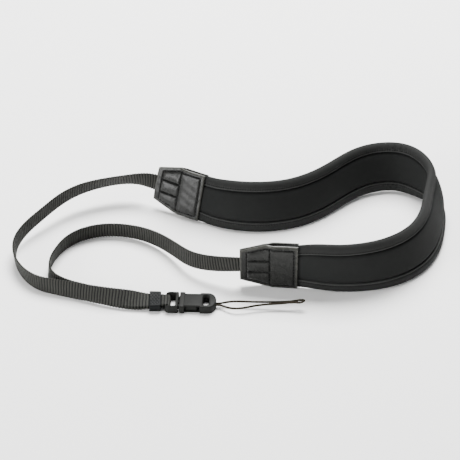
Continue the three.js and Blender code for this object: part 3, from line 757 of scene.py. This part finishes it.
def addBinding(name, node, side, stations):
    # a folded strip: round outer surface from hem to hem, and a slot that grips the tongue
    seam = band["halfWidth"] * stations["width"] - band["seamInset"]
    flat, swellTo = binding["hemFlat"], binding["swellTo"]
    rounded = flat + swellTo * np.sin(np.linspace(0.1, 1, 11) * math.pi / 2)
    across = np.concatenate([np.linspace(0, flat, 9), rounded])[None]
    half = bindingHalfThickness(across, stations["puff"])
    d = stations["d"][:, None]
    rows = np.cos(d * 2 * math.pi / stitching["pitch"])  # 1 at a stitch
    pucker = binding["pucker"] * rows * bell(across, binding["puckerAt"], binding["puckerWidth"])
    hem = bell(across, binding["hemLip"], binding["hemWidth"])
    groove = (binding["grooveDepth"] * bell(across, stitching["inset"], binding["grooveWidth"])
              - binding["hemRise"] * hem)
    curl = (inwardBend(stations) * padding["gather"]
            * np.sin(d * 1.7 + 0.8 * np.sin(d * 0.43) + across * 0.3))
    calm = np.sin(np.clip(across / band["seamInset"], 0, 1) * math.pi)
    outer = half - groove - pucker
    inner = half - groove + pucker + curl * calm
    slot = band["tongue"] * stations["puff"] + band["fitGap"]
    tip = band["halfWidth"] * stations["width"] - band["tongueInset"] + band["fitGap"]
    w = np.hstack([seam + across, (seam + across)[:, -2::-1], seam, tip, tip, seam])
    f = np.hstack([outer, -inner[:, -2::-1], -slot, -slot, slot, slot])
    grid = placeOn(stations, side * w, f)
    # the third flow mark: a painted highlight on the hem ridge on both faces, and paler ticks at
    # each stitch on the inner face
    tick = (binding["tick"] * np.clip(rows, 0, 1)
            * bell(across, binding["tickAt"], binding["tickWidth"]))
    lip = np.hstack([hem + 0 * rows, (hem + tick)[:, -2::-1], np.zeros((len(rows), 4))])
    flow = threeMarks(d, side * w, lip)
    piece = addMesh(name, grid, ringFaces(*w.shape), bindingCloth,
                    {"flow": flow}, sharp=60)
    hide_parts(node)


stitching = {"pitch": 1.5, "length": 1.05, "radius": 0.22, "inset": 1.45, "sunk": 0.3,
             "tabPitch": 2.1, "tabLength": 1.5, "tabRadius": 0.26, "tabRaised": 0.03,
             "knotLength": 1.3, "knotRadius": 0.5}


def addStitches(name, centres, along, out, length, radius):
    # one small lozenge per stitch: x = -L/2 cos v, r = radius sqrt(sin v), poles closed by fans
    sides, rings = 6, 4
    v = np.linspace(0, math.pi, rings + 2)[1:-1]
    turn = np.arange(sides) * math.pi / (sides / 2)
    x = np.concatenate([[-1], np.repeat(-np.cos(v), sides), [1]]) / 2
    r = np.concatenate([[0], np.repeat(np.sqrt(np.sin(v)), sides), [0]])
    angle = np.concatenate([[0], np.tile(turn, rings), [0]])
    a = np.arange(sides)
    onward = (a + 1) % sides
    tail = 1 + sides * rings
    body = np.concatenate([1 + sides * i + np.stack([a, onward, sides + onward, sides + a], 1)
                           for i in range(rings - 1)])
    fans = np.concatenate([np.stack([0 * a, 1 + onward, 1 + a], 1),
                           tail - np.stack([0 * a, sides - a, sides - onward], 1)])
    length = np.broadcast_to(length, len(centres))[:, None, None]
    radius = np.broadcast_to(radius, len(centres))[:, None, None]
    side = np.cross(along, out)
    points = (centres[:, None] + along[:, None] * x[None, :, None] * length
              + side[:, None] * (r * np.cos(angle))[None, :, None] * radius
              + out[:, None] * (r * np.sin(angle))[None, :, None] * radius)
    offsets = np.arange(len(centres)) * (tail + 1)
    faces = []
    for shape in (fans, body):
        faces += (shape[None] + offsets[:, None, None]).reshape(-1, shape.shape[1]).tolist()
    return addMesh(name, points, faces, sewingThread, sharp=80)


def addBandStitching():
    # a stitch every pitch along both hems and on both faces, sunk a little into the cloth
    at = np.arange(rearMouth + 0.8, frontMouth - 0.5, stitching["pitch"])
    stations = bandFrames(at)
    seam = (band["halfWidth"] * stations["width"] - band["seamInset"])[:, 0]
    inset = stitching["inset"]
    height = bindingHalfThickness(np.array([[inset]]), stations["puff"])[:, 0]
    height -= stitching["sunk"]
    centres, along, out = [], [], []
    for edge in (1, -1):
        for face in (1, -1):
            w = (edge * (seam + inset))[:, None]
            f = (face * height)[:, None]
            centres.append(placeOn(stations, w, f)[:, 0])
            along.append(stations["t"])
            out.append(face * stations["f"])
    addStitches("BandStitching", np.concatenate(centres), np.concatenate(along),
                np.concatenate(out), stitching["length"], stitching["radius"])


padStart, padEnd = rearMouth - tab["padInside"], frontMouth + tab["padInside"]
addNeckPanel(bandFrames(np.arange(padStart, padEnd, padding["panelStep"])))
bindingStations = bandFrames(np.arange(padStart, padEnd, padding["bindingStep"]))
addBinding("UpperBinding", "upper_binding", 1, bindingStations)
addBinding("LowerBinding", "lower_binding", -1, bindingStations)
addBandStitching()
print("neck band made")


sewn = {"narrowInset": 3.9, "mouthInset": 2.2, "sideInset": 2.3, "crossAt": 17.0, "railHalf": 3.9,
        "strapPuff": 0.95, "padPuff": 0.4, "puffReach": 1.5, "grooveDepth": 0.32,
        "grooveWidth": 0.42, "rimDrop": 0.3, "rimReach": 0.6, "uneven": 0.07}


def tabHalfWidth(a):
    # narrow at the strap's end, straight taper to the wide part
    share = np.clip(a / tab["taper"], 0, 1)
    return tab["narrowHalf"] + (tab["wideHalf"] - tab["narrowHalf"]) * share


def patchInside(a, w):
    # hollow over the pad and the strap, sloping to the rim; the same rule as the solid's section
    half = tabHalfWidth(a)
    overWeb = strap["halfThick"] + band["fitGap"]
    overPad = tab["padHollow"] + band["fitGap"]
    blend = smoothStep(a, tab["taper"] - 3, tab["length"] - tab["padInside"])
    hollow = overWeb + (overPad - overWeb) * blend
    rim = tab["rimGap"] + tab["rimRise"] * smoothStep(a, tab["taper"], tab["taper"] + 4)
    flat = strap["halfWidth"] + 0.4 + (half - 1.6 - strap["halfWidth"]) * blend
    slope = np.clip((np.abs(w) - flat) / np.maximum(half - flat, 0.01), 0, 1)
    return hollow + (rim - hollow) * slope


def seamDistances(a, w):
    # distance to the nearest sewn line: the border, the cross line and the two rails
    half = tabHalfWidth(a)
    inside = np.minimum(np.minimum(half - sewn["sideInset"] - np.abs(w), a - sewn["narrowInset"]),
                        tab["length"] - sewn["mouthInset"] - a)
    cross = np.hypot(a - sewn["crossAt"], np.clip(-inside, 0, None))
    past = np.maximum(a - sewn["crossAt"], sewn["narrowInset"] - a)
    rails = np.hypot(np.abs(w) - sewn["railHalf"], np.clip(past, 0, None))
    return np.minimum(np.minimum(np.abs(inside), cross), rails), inside


def patchOutside(a, w):
    # leather over the hollow: + puff (1 - e^(-near / reach)) between the sewn lines, - a bell
    # along them, and rounded at the rim
    near, inside = seamDistances(a, w)
    rimDistance = np.minimum(np.minimum(tabHalfWidth(a) - np.abs(w), a), tab["length"] - a)
    cell = np.where(a < sewn["crossAt"], sewn["strapPuff"], sewn["padPuff"])
    puff = cell * (1 - np.exp(-near / sewn["puffReach"])) * (inside > 0)
    groove = sewn["grooveDepth"] * bell(near, 0, sewn["grooveWidth"])
    rounding = sewn["rimDrop"] * np.clip(1 - rimDistance / sewn["rimReach"], 0, 1) ** 2
    uneven = sewn["uneven"] * np.sin(0.9 * a + 0.5 * w) * np.sin(0.7 * w - 0.4 * a + 1)
    height = patchInside(a, w) + tab["leather"] + puff + uneven - groove - rounding
    return height, near, rimDistance


def tabFrames(a, isRear):
    # stations a mm from the tab's narrow end
    return bandFrames(a if isRear else bandLength - a)


def addPatch(name, node, isRear, face):
    # one leather patch on the face +1 or -1: a sheet outside, a sheet inside, joined at the rim
    a = np.linspace(0, tab["length"], tab["gridAlong"])
    share = np.linspace(-1, 1, tab["gridAcross"])[None]
    w = share * tabHalfWidth(a)[:, None]
    along = np.broadcast_to(a[:, None], w.shape)
    outside, near, rim = patchOutside(along, w)
    stations = tabFrames(a, isRear)
    sheets = [placeOn(stations, w, face * height) for height in (outside, patchInside(along, w))]
    farFromSeam = 5.0
    panel = np.concatenate([threeMarks(rim, near, along), threeMarks(0.0, farFromSeam, along)])
    piece = addMesh(name, np.concatenate(sheets), shellFaces(*w.shape), tabLeather,
                    {"panel": panel}, sharp=50)
    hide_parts(node)


def lineOfStitches(start, end):
    # stitch middles and the direction from start to end, on one tab's (a, w) plane
    start, end = np.array(start, dtype=float), np.array(end, dtype=float)
    span = np.linalg.norm(end - start)
    count = max(int(round(span / stitching["tabPitch"])), 1)
    middles = start + (end - start) * ((np.arange(count) + 0.5) / count)[:, None]
    return middles, np.broadcast_to((end - start) / span, (count, 2))


def addTabStitching():
    # both ends, the cross line, the two sides and the two rails, with a knot at each cross end
    inset = sewn["sideInset"]
    a0, a1, cross = sewn["narrowInset"], tab["length"] - sewn["mouthInset"], sewn["crossAt"]
    corner = tab["taper"]
    edge = {a: float(tabHalfWidth(np.array(a))) - inset for a in (a0, corner, cross, a1)}
    lines = [((a0, -edge[a0]), (a0, edge[a0])), ((a1, -edge[a1]), (a1, edge[a1])),
             ((cross, -edge[cross]), (cross, edge[cross]))]
    for s in (1, -1):
        lines += [((a0, s * edge[a0]), (corner, s * edge[corner])),
                  ((corner, s * edge[corner]), (a1, s * edge[a1])),
                  ((a0, s * sewn["railHalf"]), (cross, s * sewn["railHalf"]))]
    sewnLines = [lineOfStitches(start, end) for start, end in lines]
    middles, ways = (np.concatenate(part) for part in zip(*sewnLines))
    knots = np.array([(cross, s * edge[cross]) for s in (1, -1)])
    middles = np.concatenate([middles, knots])
    ways = np.concatenate([ways, np.array([(0, 1.0), (0, 1.0)])])
    isKnot = np.arange(len(middles)) >= len(middles) - 2
    centres, along, out = [], [], []
    for isRear in (True, False):
        stations = tabFrames(middles[:, 0], isRear)
        forward = stations["t"] * (1 if isRear else -1)
        for face in (1, -1):
            height = patchOutside(middles[:, 0], middles[:, 1])[0] + stitching["tabRaised"]
            centres.append(placeOn(stations, middles[:, 1:], (face * height)[:, None])[:, 0])
            along.append(forward * ways[:, :1] + stations["u"] * ways[:, 1:])
            out.append(face * stations["f"])
    length = np.tile(np.where(isKnot, stitching["knotLength"], stitching["tabLength"]), 4)
    radius = np.tile(np.where(isKnot, stitching["knotRadius"], stitching["tabRadius"]), 4)
    addStitches("TabStitching", np.concatenate(centres), np.concatenate(along),
                np.concatenate(out), length, radius)


for isRear, place in ((True, "Rear"), (False, "Front")):
    for face, layer in ((1, "Outer"), (-1, "Inner")):
        addPatch(place + "Tab" + layer, (place + "_tab_" + layer).lower(), isRear, face)
addTabStitching()
print("tabs made")


def addStrap(stations):
    # ribs across both faces: f = h - depth (1 - |sin(pi d / pitch)|^power); edges swell too
    d = reachOf(stations["p"])[:, None]
    w0, f0 = strap["halfWidth"], strap["halfThick"]
    face = np.linspace(-1, 1, strap["facePoints"]) * (w0 - 0.35)
    edgeW, edgeF = np.array([w0 - 0.1, w0, w0 - 0.1]), np.array([0.75 * f0, 0, -0.75 * f0])
    faceF = np.full(len(face), f0)
    w = np.concatenate([face, edgeW, face[::-1], -edgeW])[None]
    f = np.concatenate([faceF, edgeF, -faceF, -edgeF])[None]
    wander = 0.35 * np.sin(0.9 * w + 0.07 * d) + 0.5 * np.sin(0.31 * d)
    rib = np.abs(np.sin(math.pi * d / strap["ribPitch"] + wander * 0.35)) ** strap["ribPower"]
    selvedge = smoothStep(np.abs(w), w0 - 1.0, w0 - 0.2)
    depth = strap["ribDepth"] * (1 - 0.3 * selvedge)
    ribbed = f - np.sign(f) * depth * (1 - rib)
    edge = w + np.sign(w) * (np.abs(w) > w0 - 0.3) * (rib ** 2 - 0.85) * 0.7
    grid = placeOn(stations, edge, ribbed)
    # the rib height also sets the painted shade between the ribs
    flow = threeMarks(d, w, rib)
    piece = addMesh("RibbedStrap", grid, ringFaces(*edge.shape), strapWeave,
                    {"flow": flow}, sharp=80)
    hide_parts("webbing")
    return float(d[-1, 0])


strapFrames, rearRows = strapStations()
print("strap length in mm:", round(addStrap(strapFrames), 1))


keeper = {"start": -45.2, "end": -38.7, "wall": 0.7, "halfWidth": 5.55, "halfThick": 1.67,
          "bump": 0.34, "columns": 6, "rows": 7, "stations": 49, "around": 150,
          "outerCorner": 0.9, "innerCorner": 0.35, "rimEase": 0.25}


def roundedLoop(halfWidth, halfThick, corner, count):
    # a rectangle with rounded corners as (w, f), evenly stepped along its length
    quarter = np.linspace(0, math.pi / 2, 7)
    parts = []
    for k, (sw, sf) in enumerate(((1, 1), (-1, 1), (-1, -1), (1, -1))):
        angle = quarter + k * math.pi / 2
        parts.append(np.stack([sw * (halfWidth - corner) + corner * np.cos(angle),
                               sf * (halfThick - corner) + corner * np.sin(angle)], 1))
    loop = np.concatenate(parts + [parts[0][:1]])
    knots = reachOf(loop)
    at = np.linspace(0, knots[-1], count, endpoint=False)
    return np.stack([np.interp(at, knots, loop[:, 0]), np.interp(at, knots, loop[:, 1])], 1)


def addKeeper():
    # outer surface: rounded loop plus the peaks of sin u sin v, which stand in staggered rows
    w0, f0, wall = keeper["halfWidth"], keeper["halfThick"], keeper["wall"]
    knots = reachOf(rearRows[:, :3])
    fine = np.arange(0, knots[-1], 0.02)
    fine = fine[len(fine) * 3 // 4:]  # the leg passes the same x twice; the buckle is at its end
    x = naturalCubic(knots, rearRows, fine)[:, 0]
    first, last = fine[np.argmax(x > keeper["start"])], fine[np.argmax(x > keeper["end"])]
    at = np.linspace(first, last, keeper["stations"])
    stations = legFrames(rearRows, at)
    gap, slip = layering(stations["p"][:, 0])
    halfway = stations["f"] * gap[:, None] / 2 - stations["u"] * slip[:, None] / 2
    stations["p"] = stations["p"] + halfway
    outer = roundedLoop(w0 + wall, f0 + wall, keeper["outerCorner"], keeper["around"])
    across, through = outer.T
    inner = roundedLoop(w0, f0, keeper["innerCorner"], keeper["around"])
    share = (at - first)[:, None] / (last - first)
    broad = smoothStep(-np.abs(across), 0.5 - w0, 1.6 - w0)
    flatSide = (np.abs(through) > f0 + 0.6 * wall) * broad
    inside = smoothStep(share, 0.08, 0.14) * smoothStep(1 - share, 0.08, 0.14)
    u = (share - 0.1) / 0.8 * keeper["columns"] * math.pi
    v = (across / (w0 - 0.7) + 1) / 2 * keeper["rows"] * math.pi
    bumps = np.clip(np.sin(u) * np.sin(v), 0, 1)
    lift = keeper["bump"] * bumps * flatSide * inside
    nearEnd = [np.clip(1 - part * 14, 0, 1) ** 2 for part in (share, 1 - share)]
    rimEase = keeper["rimEase"] * (nearEnd[0] + nearEnd[1])
    f = through + np.sign(through) * (lift - rimEase * (np.abs(through) > 1))
    w = across - np.sign(across) * rimEase * (np.abs(across) > 4)
    innerW, innerF = (np.broadcast_to(values, f.shape) for values in inner.T)
    grid = np.concatenate([placeOn(stations, w, f), placeOn(stations, innerW, innerF)[::-1]])
    faces = ringFaces(len(grid), len(outer), closedRows=True)
    # raised marks the bump tops for the rubber's painted highlight
    raised = np.zeros_like(grid)
    raised[:len(at), :, 0] = smoothStep(bumps, 0.4, 0.9) * flatSide * inside
    piece = addMesh("KnurledKeeper", grid, faces, keeperRubber,
                    {"raised": raised}, sharp=55)
    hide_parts("keeper")


addKeeper()
print("keeper made")


rounding = {"width": 0.16, "angle": 28.0, "segments": 2, "weld": 1e-6}


def softenCopy(name, node, material):
    # the solid's own shape with its edges rounded: a copy with its doubles merged, then a bevel
    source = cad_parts[node]
    source = bpy.data.objects[source] if isinstance(source, str) else source
    mesh = source.data.copy()
    piece = newObject(name, mesh)
    mesh.materials.clear()
    mesh.materials.append(material)
    work = bmesh.new()
    work.from_mesh(mesh)
    bmesh.ops.remove_doubles(work, verts=work.verts, dist=rounding["weld"])
    work.to_mesh(mesh)
    work.free()
    mesh.shade_smooth()
    bevel = piece.modifiers.new("rounding", "BEVEL")
    bevel.width = rounding["width"] * millimetre
    bevel.segments = rounding["segments"]
    bevel.limit_method = "ANGLE"
    bevel.angle_limit = math.radians(rounding["angle"])
    bevel.harden_normals = True
    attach(piece, "root")
    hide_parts(node)


softenCopy("BucklePlug", "buckle_plug", bucklePlastic)
softenCopy("BuckleSocket", "buckle_socket", bucklePlastic)
print("buckle made")


floorFinish = {"color": (0.93, 0.93, 0.92), "roughness": 0.9, "specular": 0.1}


def addFloor():
    # a square of 2 x half metres at z = 0
    half = 3.0
    mesh = bpy.data.meshes.new("Floor")
    mesh.from_pydata([(-half, -half, 0), (half, -half, 0), (half, half, 0), (-half, half, 0)], [],
                     [(0, 1, 2, 3)])
    mesh.materials.append(startMaterial("paleFloor", floorFinish)[0])
    floor = newObject("Floor", mesh)


def addLight(name, place, target, size, power):
    # a square soft box at place that faces target, both in metres
    light = bpy.data.lights.new(name, "AREA")
    light.energy = power
    light.size = size
    lamp = newObject(name, light)
    lamp.location = place
    way = np.array(target) - np.array(place)
    lamp.rotation_euler = (math.atan2(math.hypot(way[0], way[1]), -way[2]), 0,
                           math.atan2(way[0], -way[1]) + math.pi)


addFloor()
addLight("BackSoftbox", (0.1, 0.65, 1.15), (0, 0, 0), 0.8, 68)
addLight("LeftFrontSoftbox", (-1.3, -0.86, 0.42), (0, 0, 0), 0.8, 38)
world = bpy.data.worlds.new("softRoom")
world.use_nodes = True
background = world.node_tree.nodes["Background"].inputs
background["Color"].default_value = (1, 1, 1, 1)
background["Strength"].default_value = 0.5
bpy.context.scene.world = world
print("stage made")
